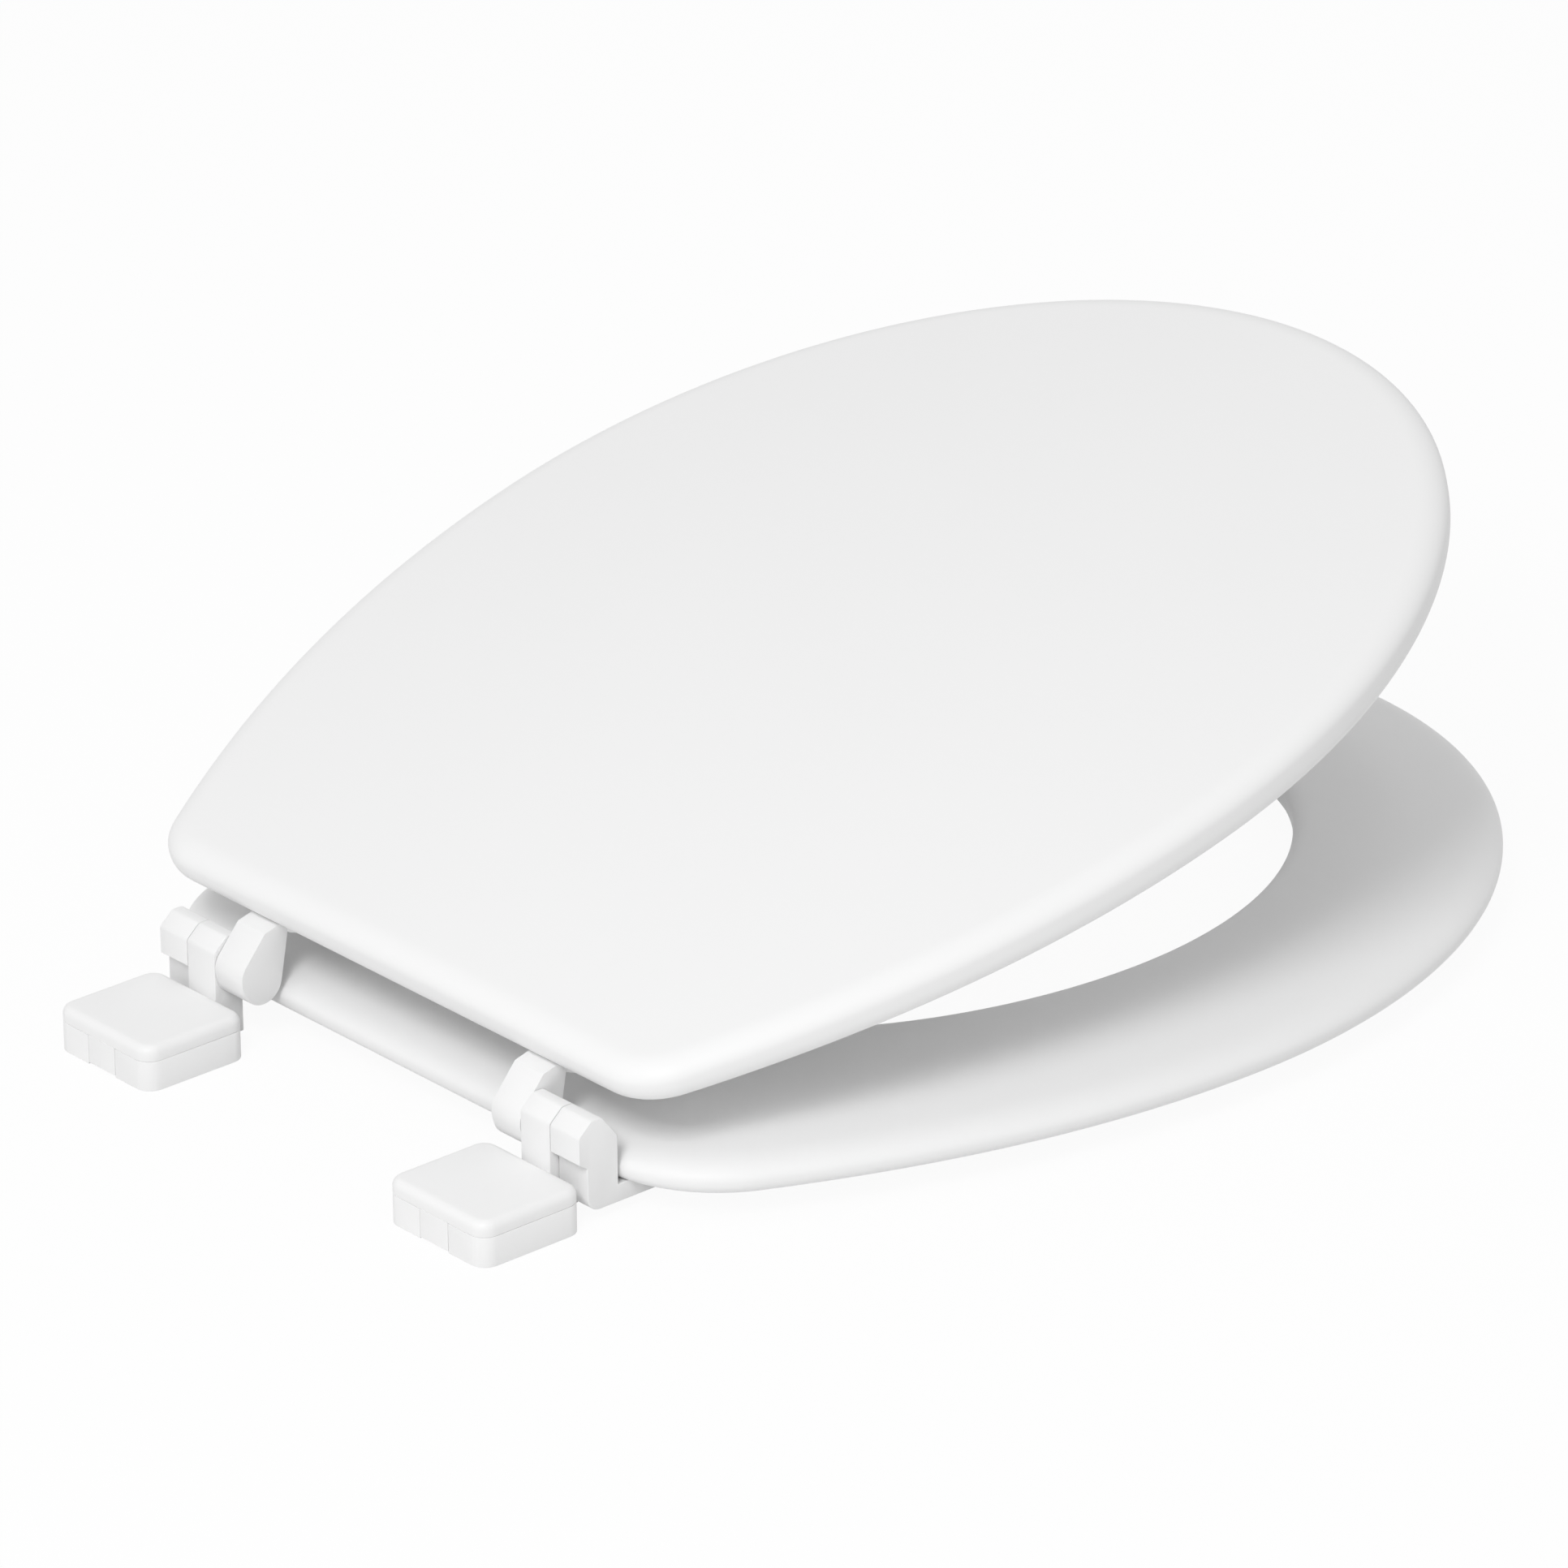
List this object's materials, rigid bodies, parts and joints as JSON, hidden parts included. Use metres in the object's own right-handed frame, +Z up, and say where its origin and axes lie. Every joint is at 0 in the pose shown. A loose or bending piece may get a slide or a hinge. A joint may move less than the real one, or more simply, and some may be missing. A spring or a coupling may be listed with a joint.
{
  "type": "toilet seat",
  "caption": "Egg-shaped toilet seat: a dished moulded ring and a softly crowned lid on plastic post hinges, bolted down through slotted feet under lift-off covers.",
  "frame": {"origin": "midway between the two bolt slots, on the plane the hinge posts stand on", "axes": "+X to the right of the person sitting, +Y to the front of the seat, +Z up"},
  "size_m": [0.3808, 0.4982, 0.1633],
  "materials": {
    "enamelled_wood": "smooth white satin enamel over moulded wood",
    "hinge_plastic": "moulded white plastic, soft gloss",
    "steel": "bright zinc-plated steel",
    "buffer": "soft white plastic, matt"
  },
  "bodies": {
    "posts": {"hinge_post_left": "hinge_plastic", "hinge_post_right": "hinge_plastic"},
    "ring": {"seat_ring": "enamelled_wood", "ring_leaf_left": "hinge_plastic", "ring_leaf_right": "hinge_plastic", "ring_screw_left_rear": "steel", "ring_screw_left_front": "steel", "ring_screw_right_rear": "steel", "ring_screw_right_front": "steel", "ring_buffer_left_rear": "buffer", "ring_buffer_left_front": "buffer", "ring_buffer_right_rear": "buffer", "ring_buffer_right_front": "buffer"},
    "lid": {"lid": "enamelled_wood", "lid_leaf_left": "hinge_plastic", "lid_leaf_right": "hinge_plastic", "lid_screw_left_rear": "steel", "lid_screw_left_front": "steel", "lid_screw_right_rear": "steel", "lid_screw_right_front": "steel", "lid_buffer_left": "buffer", "lid_buffer_right": "buffer"},
    "cover_left": {"bolt_cover_left": "hinge_plastic"},
    "cover_right": {"bolt_cover_right": "hinge_plastic"},
    "pin_left": {"hinge_pin_left": "steel"},
    "pin_right": {"hinge_pin_right": "steel"}
  },
  "joints": [
    {"name": "ring_hinge", "type": "hinge", "parent": "posts", "child": "ring", "pos_m": [0, 0.0297, 0.026], "axis": [1, 0, 0], "range_deg": [0, 95]},
    {"name": "lid_hinge", "type": "hinge", "parent": "ring", "child": "lid", "pos_m": [0, 0.0297, 0.026], "axis": [-1, 0, 0], "range_deg": [-85, 14.6]},
    {"name": "cover_left_lift", "type": "slide", "parent": "posts", "child": "cover_left", "axis": [0, 0, 1], "range_m": [0, 0.006]},
    {"name": "cover_right_lift", "type": "slide", "parent": "posts", "child": "cover_right", "axis": [0, 0, 1], "range_m": [0, 0.006]},
    {"name": "pin_left_turn", "type": "hinge", "parent": "posts", "child": "pin_left", "pos_m": [0, 0.0297, 0.026], "axis": [1, 0, 0], "continuous": true},
    {"name": "pin_right_turn", "type": "hinge", "parent": "posts", "child": "pin_right", "pos_m": [0, 0.0297, 0.026], "axis": [1, 0, 0], "continuous": true}
  ]
}
